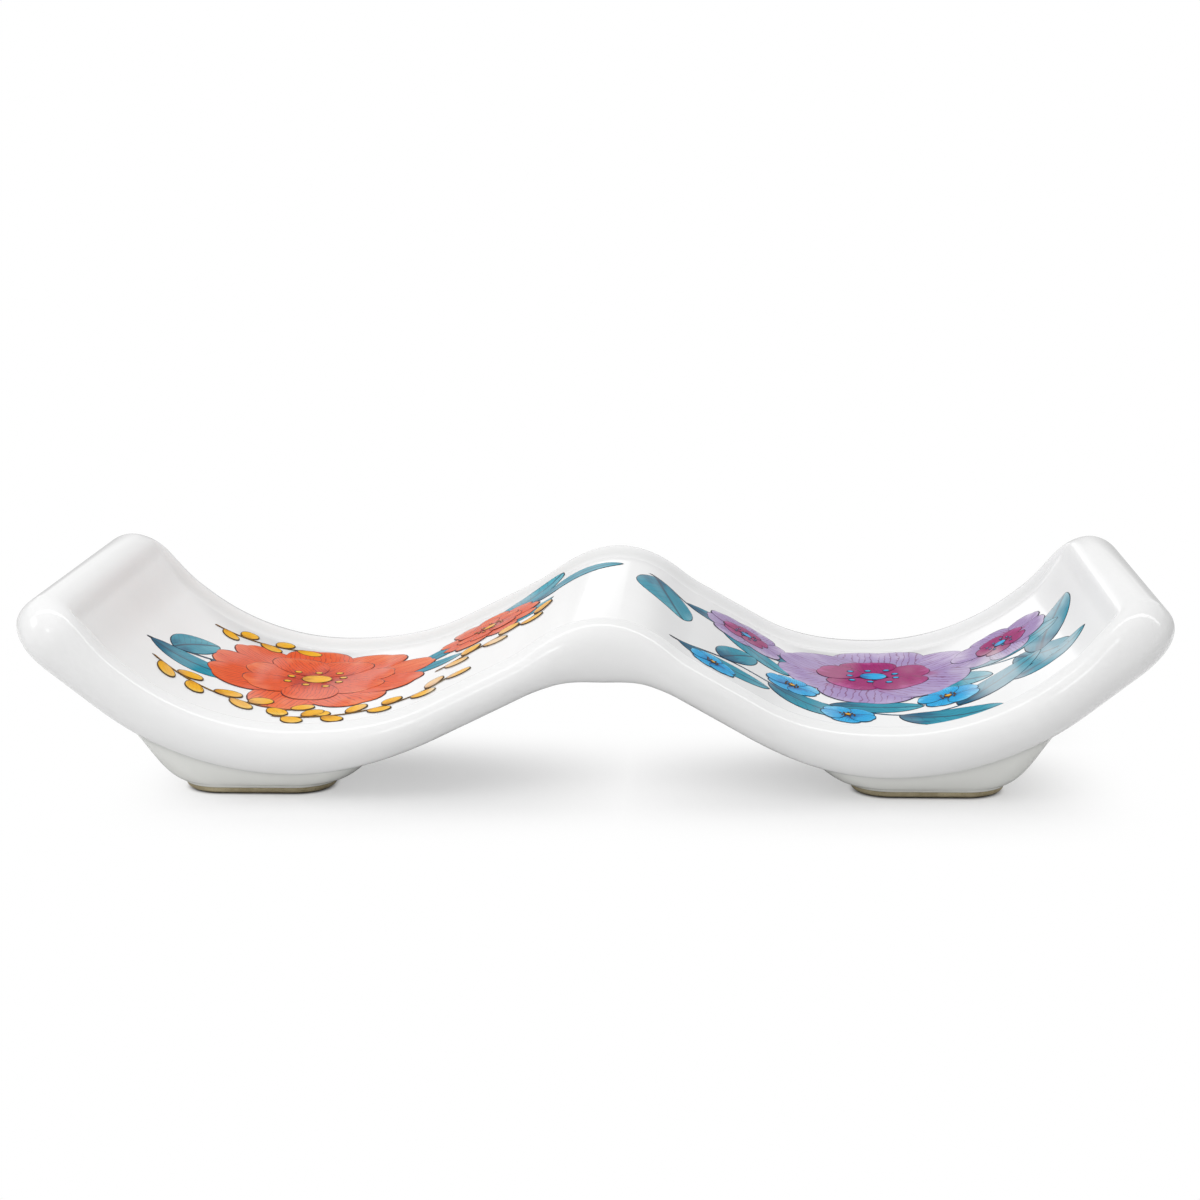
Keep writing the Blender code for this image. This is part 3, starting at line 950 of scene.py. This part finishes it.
def paper_finish(colour):
    """White paper that keeps the shadow under the object and turns plain white round it."""
    material, tree, shader = new_finish("paper_sweep")
    where = wire(tree, "ShaderNodeTexCoord").outputs["Object"]
    fibre = ease(tree, cloud(tree, 900.0, 3.0), 0.3, 0.7, 0.0, 0.03)
    tint = mix_colours(tree, fibre, list(colour), PAPER_FIBRE)
    tree.links.new(tint, shader.inputs["Base Color"])
    shader.inputs["Roughness"].default_value = 0.9
    shader.inputs["Specular IOR Level"].default_value = 0.1
    place = wire(tree, "ShaderNodeSeparateXYZ", {0: where}).outputs
    aside = calculate(tree, "ABSOLUTE", calculate(tree, "SUBTRACT", place["X"], SHADE_MIDDLE_X))
    front = between(tree, place["Y"], *FRONT_SHADE)
    back = between(tree, place["Y"], *BACK_SHADE)
    back = times(tree, back, ease(tree, aside, *BACK_SHADE_ASIDE, 0.0, 0.6))
    by_feet = between(tree, aside, *FEET_SHADE)
    shade = times(tree, by_feet, calculate(tree, "MAXIMUM", front, back))
    share = times(tree, ease(tree, shade, 0.0, 1.0, 1.0, 0.48), plain_sight(tree))
    share = times(tree, share, ease(tree, ring_distance(tree, place), *CONTACT_LINE))
    under = times(
        tree,
        ease(tree, calculate(tree, "ABSOLUTE", place["X"]), *UNDER_LENGTH, 1.0, 0.0),
        ease(tree, calculate(tree, "ABSOLUTE", place["Y"]), *UNDER_DEPTH, 1.0, 0.0),
    )
    glossy = wire(tree, "ShaderNodeLightPath").outputs["Is Glossy Ray"]
    share = times(tree, share, ease(tree, times(tree, under, glossy), 0.0, 1.0, 1.0, 0.1))
    glow = wire(tree, "ShaderNodeEmission", {"Color": WHITE, "Strength": 1.0})
    both = wire(tree, "ShaderNodeMixShader", {0: share, 1: shader.outputs[0], 2: glow.outputs[0]})
    tree.links.new(both.outputs[0], tree.nodes["Material Output"].inputs["Surface"])
    return material


def past(tree, value, limit):
    """How far a value lies past a limit, to either side of 0."""
    return calculate(tree, "SUBTRACT", calculate(tree, "ABSOLUTE", value), limit)


def ring_distance(tree, place):
    """Distance of a place on the floor from where a ring stands."""
    low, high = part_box("right_foot_ring")
    corner = FOOT_CORNER - RING_LEDGE - RING_OUTER_ROUND
    inset = RING_OUTER_ROUND + corner
    along = past(tree, place["X"], (low.x + high.x) / 2.0)
    along = past(tree, along, (high.x - low.x) / 2.0 - inset)
    across = past(tree, place["Y"], high.y - inset)
    sides = []
    for side in (along, across):
        sides.append(calculate(tree, "POWER", calculate(tree, "MAXIMUM", side, 0.0), 2.0))
    reach = calculate(tree, "SQRT", calculate(tree, "ADD", *sides))
    return calculate(tree, "SUBTRACT", reach, corner)


def plain_sight(tree):
    """1 for rays that look at the background straight, by reflection or through glass, and else 0."""
    path = wire(tree, "ShaderNodeLightPath")
    looks = calculate(tree, "MAXIMUM", path.outputs["Is Camera Ray"], path.outputs["Is Glossy Ray"])
    return calculate(tree, "MAXIMUM", looks, path.outputs["Is Transmission Ray"])


def make_floor(colour):
    """Round sheet of paper under the object."""
    skin = Skin()
    angle = np.arange(FLOOR_SIDES) * math.tau / FLOOR_SIDES
    circle = np.stack((np.cos(angle), np.sin(angle), np.zeros(FLOOR_SIDES)), axis=-1)
    rows = [skin.add_points(circle * radius) for radius in FLOOR_RADII]
    for inner, outer in zip(rows, rows[1:]):
        skin.add_band(outer, inner)
    place_object("paper_floor", skin.mesh("paper_floor", paper_finish(colour)))


def card_glow_finish(name, grey):
    """Glow of a card that shows in reflections alone, from grey to plain white towards its borders."""
    material, tree, shader = new_finish(name)
    tree.nodes.remove(shader)
    tint = mix_colours(tree, mark(tree, "veil"), WHITE, (grey, grey, grey, 1.0))
    glow = wire(tree, "ShaderNodeEmission", {"Color": tint, "Strength": 1.0})
    tree.links.new(glow.outputs[0], tree.nodes["Material Output"].inputs["Surface"])
    return material


def stage_card(name, skin, grey):
    """Put a card on the stage that shows in the gloss alone."""
    card = place_object(name, skin.mesh(name, card_glow_finish(name, grey)))
    card.visible_camera = False
    card.visible_diffuse = False
    card.visible_shadow = False


def make_strip(grey):
    """Low glowing strip round the back and the ends, seen in reflections alone, that paints the white
    edges' thin grey contour as a reflection.
    """
    skin = Skin(("veil",))
    wave = np.zeros((STRIP_POINTS, 2))
    wave[:, 0] = np.linspace(-END_DISTANCE, END_DISTANCE, STRIP_POINTS)
    wave = tray_points(wave, 1.0)
    half_depth = TRAY_DEPTH / 2.0 + STRIP_GAP
    loop = rounded_loop(HOLLOW_X + STRIP_REACH, half_depth, 2.0 * STRIP_GAP, TRAY_SIDES)
    loop = loop[TRAY_SIDES[0] + 2 * TRAY_SIDES[2]:]
    x = loop[:, 0]
    aside = np.abs(x)
    off_hollow = np.minimum(np.abs(x - HOLLOW_X), np.abs(x - STRIP_LEFT_HOLLOW_X))
    hollow = smooth_step(1.0 - off_hollow / STRIP_HOLLOW_LENGTH)
    end = smooth_step((aside - HOLLOW_X) / STRIP_END_LENGTH)
    wing = smooth_step((aside - STRIP_WING_START) / STRIP_WING_LENGTH)
    top = np.interp(x, wave[:, 0], wave[:, 2]) + STRIP_LIFT + STRIP_END_LIFT * end
    top = top + STRIP_HOLLOW_LIFT * hollow + STRIP_WING_LIFT * wing
    veil = smooth_step((loop[:, 1] - STRIP_FRONT_Y) / STRIP_FADE_LENGTH) * (1.0 - 0.5 * end)
    rows = []
    for drop, strength in STRIP_ROWS:
        rows.append(skin.add_points(at_height(loop, np.maximum(top - drop, 0.0)), veil * strength))
    skin.add_grid(np.stack(rows))
    stage_card("contour_strip", skin, grey)


def make_card(name, grey, place, size, soft=1.0, along=(1.0, 0.0, 0.0), up=(0.0, 0.0, 1.0)):
    """Card round the object that shades or lights a part of its gloss, softest at its borders."""
    skin = Skin(("veil",))
    line = np.linspace(-1.0, 1.0, CARD_POINTS)
    u, v = np.meshgrid(line, line, indexing="ij")
    points = np.array(place) + u[..., None] * np.array(along) * size[0] / 2.0
    points = points + v[..., None] * np.array(up) * size[1] / 2.0
    veil = smooth_step((1.0 - np.abs(u)) / soft) * smooth_step((1.0 - np.abs(v)) / soft)
    skin.add_grid(skin.add_points(points, veil))
    stage_card(name, skin, grey)


def make_sky(strength):
    """World that fills the shadows softly and shows as plain white."""
    world = bpy.data.worlds.new("studio_white")
    bpy.context.scene.world = world
    world.use_nodes = True
    tree = world.node_tree
    back = tree.nodes["Background"]
    back.inputs["Color"].default_value = WHITE
    tree.links.new(ease(tree, plain_sight(tree), 0.0, 1.0, strength, 1.0), back.inputs["Strength"])


def make_lamp(name, power, place, target, size):
    """Rectangular soft lamp that looks at a target and isn't mirrored in the glaze."""
    lamp = bpy.data.lights.new(name, "AREA")
    lamp.shape = "RECTANGLE"
    lamp.size = size[0]
    lamp.size_y = size[1]
    lamp.energy = power
    holder = place_object(name, lamp)
    holder.location = place
    holder.visible_glossy = False
    holder.rotation_euler = (Vector(target) - Vector(place)).to_track_quat("-Z", "Y").to_euler()


def make_camera(stage):
    """Camera at the photograph's viewing angle."""
    camera = bpy.data.cameras.new("studio_camera")
    camera.sensor_width = 36.0
    camera.lens = stage.lens
    camera.clip_start = 0.001
    holder = place_object("studio_camera", camera)
    pitch, yaw, roll = stage.camera_pitch, stage.camera_yaw, stage.camera_roll
    level_reach = math.cos(pitch)
    forward = Vector((math.sin(yaw) * level_reach, math.cos(yaw) * level_reach, -math.sin(pitch)))
    right = Vector((math.cos(yaw), -math.sin(yaw), 0.0))
    up = right.cross(forward)
    level = Matrix((right, up, -forward)).transposed()
    tilt = Matrix.Rotation(roll, 3, "Z")
    holder.matrix_world = Matrix.Translation(stage.camera_place) @ (level @ tilt).to_4x4()
    bpy.context.scene.camera = holder


# Settings

def colour_setting(name, description, default):
    """Colour property of a finish."""
    return FloatVectorProperty(
        name=name, description=description, default=(*default, 1.0),
        size=4, min=0.0, max=1.0, subtype="COLOR",
    )


def length_setting(name, description, default):
    """Length property of a detail."""
    return FloatProperty(
        name=name, description=description, default=default, min=0.0, precision=6, unit="LENGTH",
    )


def angle_setting(name, description, degrees):
    """Angle property of the camera."""
    return FloatProperty(
        name=name, description=description, default=math.radians(degrees), subtype="ANGLE",
    )


def number_setting(name, description, default, **limits):
    """Plain number property: a scale, a brightness or a power."""
    return FloatProperty(name=name, description=description, default=default, **limits)


class SpoonRestSizes(bpy.types.PropertyGroup):
    """Sizes of the glaze and of the painting."""

    glaze_ripple: length_setting("Glaze ripple", "Height of the ripples of the poured glaze", 0.000012)
    joint_inset: length_setting(
        "Joint inset", "How far behind the edge of the tray a foot meets it", 0.0015,
    )
    base_round: length_setting("Base round", "Rounding of the glaze at the bottom of a foot", 0.00025)
    enamel_height: length_setting("Enamel height", "How far the painting stands over the glaze", 0.00003)
    outline_width: length_setting("Outline width", "Width of the painted outlines", 0.00013)
    stem_width: length_setting("Stem width", "Width of the painted stems", 0.0007)
    berry_radius: length_setting("Berry radius", "Radius of the painted berries", 0.0014)
    leaf_scale: number_setting("Leaf scale", "Size of the leaves", 1.0, min=0.1, max=2.0)
    blossom_scale: number_setting("Blossom scale", "Size of the blossoms", 1.0, min=0.1, max=1.1)


class SpoonRestColours(bpy.types.PropertyGroup):
    """Colours of the glaze, the clay and the painting."""

    glaze: colour_setting("Glaze", "White of the glaze", (0.83, 0.83, 0.83))
    foot_glaze: colour_setting("Foot glaze", "Thinner glaze of the feet", (0.84, 0.845, 0.815))
    # Grey of the creases: thick glaze and painted shade.
    glaze_pool_and_shade: colour_setting("Glaze pool", "Grey of the glaze where it lies thick", (0.46, 0.47, 0.45))
    clay: colour_setting("Clay", "Bare clay of the rings", (0.60, 0.52, 0.34))
    clay_dark: colour_setting("Clay, dark", "Darker blotches of the bare clay", (0.42, 0.35, 0.21))
    # Also the colour of the painted contact shadow at the bottom of the rings.
    clay_line_and_shadow: colour_setting("Clay line", "Edges of the bare clay", (0.06, 0.045, 0.022))
    outline: colour_setting("Outline", "Fine painted outlines", (0.020, 0.022, 0.032))
    orange_deep: colour_setting("Orange, deep", "Heart of the orange petals", (0.50, 0.035, 0.010))
    orange: colour_setting("Orange", "Orange petals", (0.76, 0.095, 0.020))
    orange_pale: colour_setting("Orange, pale", "Tips of the orange petals", (0.82, 0.20, 0.07))
    lilac: colour_setting("Lilac", "Lilac petals", (0.36, 0.26, 0.50))
    lilac_pale: colour_setting("Lilac, pale", "Tips of the lilac petals", (0.58, 0.49, 0.68))
    magenta: colour_setting("Magenta", "Heart of the lilac petals", (0.33, 0.011, 0.145))
    magenta_pale: colour_setting("Magenta, pale", "Tips of the inner petals", (0.48, 0.09, 0.30))
    teal_deep: colour_setting("Teal, deep", "Dark end of the leaves", (0.005, 0.10, 0.19))
    teal: colour_setting("Teal", "Leaves", (0.012, 0.27, 0.38))
    teal_pale: colour_setting("Teal, pale", "Tips of the leaves", (0.11, 0.45, 0.55))
    yellow_deep: colour_setting("Yellow, deep", "Dark end of the yellow berries", (0.60, 0.25, 0.006))
    yellow: colour_setting("Yellow", "Yellow berries", (0.87, 0.44, 0.013))
    yellow_pale: colour_setting("Yellow, pale", "Tips of the yellow berries", (0.90, 0.58, 0.10))
    blue_deep: colour_setting("Blue, deep", "Heart of the blue petals", (0.004, 0.15, 0.43))
    blue: colour_setting("Blue", "Blue petals", (0.010, 0.38, 0.74))
    blue_pale: colour_setting("Blue, pale", "Tips of the blue petals", (0.16, 0.60, 0.86))


class SpoonRestStage(bpy.types.PropertyGroup):
    """Settings of the floor, the lamps and the camera."""

    floor: colour_setting("Floor", "Colour of the paper floor", (0.78, 0.78, 0.78))
    # The cards, the window, the overhead cards and the strip glow and show in the gloss alone: painted
    # reflections and painted highlights.
    card: number_setting("Cards", "Grey of the cards behind the object", 0.70, min=0.0, max=1.0)
    window: number_setting("Window", "Brightness of the soft window in the gloss", 1.5, min=1.0)
    overhead: number_setting("Overhead", "Brightness of the lamps in the gloss", 4.0, min=1.0)
    strip: number_setting("Strip", "Grey of the strip round the edges", 0.15, min=0.0, max=1.0)
    sky: number_setting("Sky", "Strength of the soft fill light", 0.45, min=0.0)
    key_power: number_setting("Key lamp", "Power of the lamp at the left", 1.52, unit="POWER")
    top_power: number_setting("Top lamp", "Power of the lamp overhead", 2.5, unit="POWER")
    lens: number_setting("Lens", "Focal length in millimetres", 81.0, min=1.0)
    camera_place: FloatVectorProperty(
        name="Camera place", description="Where the camera stands",
        default=(0.01421, -0.29480, 0.07307), subtype="TRANSLATION", unit="LENGTH",
    )
    camera_pitch: angle_setting("Camera pitch", "How far the camera looks down", 10.73)
    camera_yaw: angle_setting("Camera yaw", "How far the camera looks to the right", -2.74)
    camera_roll: angle_setting("Camera roll", "How far the camera leans over", -0.305)


# Operators

def settings(context):
    """Sizes and colours that the user has set."""
    return context.scene.spoon_rest_sizes, context.scene.spoon_rest_colours


def washes(colours, name):
    """The deep, middle and pale wash of one paint."""
    return tuple(getattr(colours, name + depth) for depth in ("_deep", "", "_pale"))


class SPOONREST_OT_tray(bpy.types.Operator):
    """Make the glazed tray"""

    bl_idname = "spoon_rest.tray"
    bl_label = "Tray"

    def execute(self, context):
        sizes, colours = settings(context)
        finish = glaze_finish("tray_glaze", sizes, colours, colours.glaze, TRAY_POOL_AND_SHADE_DEPTH)
        tray = tray_skin().make("glazed_tray", finish)
        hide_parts("wave_tray")
        return {"FINISHED"}


class SPOONREST_OT_feet(bpy.types.Operator):
    """Make the glazed feet"""

    bl_idname = "spoon_rest.feet"
    bl_label = "Feet"

    def execute(self, context):
        sizes, colours = settings(context)
        finish = glaze_finish("foot_glaze", sizes, colours, colours.foot_glaze, FOOT_POOL_AND_SHADE_DEPTH)
        for side in ("left", "right"):
            skin = foot_skin(side, sizes.joint_inset, sizes.base_round)
            foot = skin.make(side + "_glazed_foot", finish)
            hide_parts(side + "_foot")
        return {"FINISHED"}


class SPOONREST_OT_rings(bpy.types.Operator):
    """Make the bare rings under the feet"""

    bl_idname = "spoon_rest.rings"
    bl_label = "Bare rings"

    def execute(self, context):
        finish = clay_finish("bare_clay", context.scene.spoon_rest_colours)
        for side in ("left", "right"):
            ring = ring_skin(side).make(side + "_bare_ring", finish)
            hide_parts(side + "_foot_ring")
        return {"FINISHED"}


class SPOONREST_OT_leaves(bpy.types.Operator):
    """Paint the stems and leaves"""

    bl_idname = "spoon_rest.leaves"
    bl_label = "Stems and leaves"

    def execute(self, context):
        sizes, colours = settings(context)
        dark_washes = (colours.outline, colours.teal_deep, colours.teal)
        finish = enamel_finish("stem_enamel", sizes, colours, *dark_washes, "brush")
        stems_skin(sizes).make("painted_stems", finish)
        finish = enamel_finish("leaf_enamel", sizes, colours, *washes(colours, "teal"), "leaf")
        leaves_skin(sizes, (0,), LEFT_LEAVES_SEED).make("left_painted_leaves", finish)
        leaves_skin(sizes, (1, 2), RIGHT_LEAVES_SEED).make("right_painted_leaves", finish)
        return {"FINISHED"}


class SPOONREST_OT_blossoms(bpy.types.Operator):
    """Paint the blossoms"""

    bl_idname = "spoon_rest.blossoms"
    bl_label = "Blossoms"

    def execute(self, context):
        sizes, colours = settings(context)
        orange, yellow, blue = (washes(colours, name) for name in ("orange", "yellow", "blue"))
        lilac = (colours.magenta, colours.lilac, colours.lilac_pale)
        magenta = (colours.magenta, colours.magenta, colours.magenta_pale)
        for name, blossoms, rings, hearts in (
            ("orange", ORANGE_BLOSSOMS, ((9, 1.0, orange), (7, 0.62, orange)), yellow),
            ("lilac", LILAC_BLOSSOMS, ((6, 1.0, lilac), (5, 0.50, magenta)), blue),
            ("blue", BLUE_BLOSSOMS, ((5, 1.0, blue),), yellow),
        ):
            for place, (count, share, paints) in enumerate(rings):
                ring = name + ("_outer" if place == 0 else "_inner")
                finish = enamel_finish(ring + "_enamel", sizes, colours, *paints, "petal")
                layer = PETAL_LAYER + PETAL_RING_STEP * place
                skin = petals_skin(sizes, blossoms, count, share, layer, PETALS_SEED + place)
                skin.make(ring + "_petals", finish)
            finish = enamel_finish(name + "_heart_enamel", sizes, colours, *hearts, "brush")
            hearts_skin(sizes, blossoms).make(name + "_hearts", finish)
        return {"FINISHED"}


class SPOONREST_OT_berries(bpy.types.Operator):
    """Paint the sprays of berries"""

    bl_idname = "spoon_rest.berries"
    bl_label = "Berries"

    def execute(self, context):
        sizes, colours = settings(context)
        finish = enamel_finish("berry_enamel", sizes, colours, *washes(colours, "yellow"), "brush")
        berries_skin(sizes, YELLOW_SPRAYS, BERRIES_SEED).make("yellow_berries", finish)
        return {"FINISHED"}


class SPOONREST_OT_stage(bpy.types.Operator):
    """Set up the floor, the lamps and the camera"""

    bl_idname = "spoon_rest.stage"
    bl_label = "Stage"

    def execute(self, context):
        stage = context.scene.spoon_rest_stage
        context.scene.view_settings.view_transform = "Standard"
        make_floor(stage.floor)
        make_sky(stage.sky)
        make_lamp("key_lamp", stage.key_power, *KEY_LAMP)
        make_lamp("top_lamp", stage.top_power, *TOP_LAMP)
        make_strip(stage.strip)
        make_card("left_card", stage.card + LEFT_CARD_PALER, *LEFT_CARD)
        make_card("right_card", stage.card, *RIGHT_CARD)
        make_card("window_card", stage.window, *WINDOW_CARD)
        make_card("overhead_card", stage.overhead, *OVERHEAD_CARD)
        make_card("side_card", stage.overhead, *SIDE_CARD)
        make_card("key_card", stage.overhead, *KEY_CARD)
        make_camera(stage)
        return {"FINISHED"}


class SPOONREST_PT_panel(bpy.types.Panel):
    """Settings and steps of the spoon rest"""

    bl_idname = "SPOONREST_PT_panel"
    bl_label = "Spoon Rest"
    bl_space_type = "VIEW_3D"
    bl_region_type = "UI"
    bl_category = "Spoon Rest"

    def draw(self, context):
        layout = self.layout
        for title, group in (
            ("Sizes", context.scene.spoon_rest_sizes),
            ("Colours", context.scene.spoon_rest_colours),
            ("Stage", context.scene.spoon_rest_stage),
        ):
            box = layout.box()
            box.label(text=title)
            for key in group.__annotations__:
                box.prop(group, key)
        for operator in OPERATORS:
            layout.operator(operator.bl_idname)


GROUPS = {
    "spoon_rest_sizes": SpoonRestSizes,
    "spoon_rest_colours": SpoonRestColours,
    "spoon_rest_stage": SpoonRestStage,
}
OPERATORS = (
    SPOONREST_OT_tray,
    SPOONREST_OT_feet,
    SPOONREST_OT_rings,
    SPOONREST_OT_leaves,
    SPOONREST_OT_blossoms,
    SPOONREST_OT_berries,
    SPOONREST_OT_stage,
)


def register():
    """Register the settings, the steps and the panel."""
    for name, group in GROUPS.items():
        bpy.utils.register_class(group)
        setattr(bpy.types.Scene, name, PointerProperty(type=group))
    for operator in OPERATORS:
        bpy.utils.register_class(operator)
    bpy.utils.register_class(SPOONREST_PT_panel)


def unregister():
    """Take back what register added."""
    bpy.utils.unregister_class(SPOONREST_PT_panel)
    for operator in reversed(OPERATORS):
        bpy.utils.unregister_class(operator)
    for name, group in reversed(GROUPS.items()):
        delattr(bpy.types.Scene, name)
        bpy.utils.unregister_class(group)


def main():
    """Build the spoon rest on its stage."""
    register()
    steps = bpy.ops.spoon_rest
    steps.tray()
    steps.feet()
    steps.rings()
    steps.leaves()
    steps.blossoms()
    steps.berries()
    steps.stage()


if __name__ == "__main__":
    main()
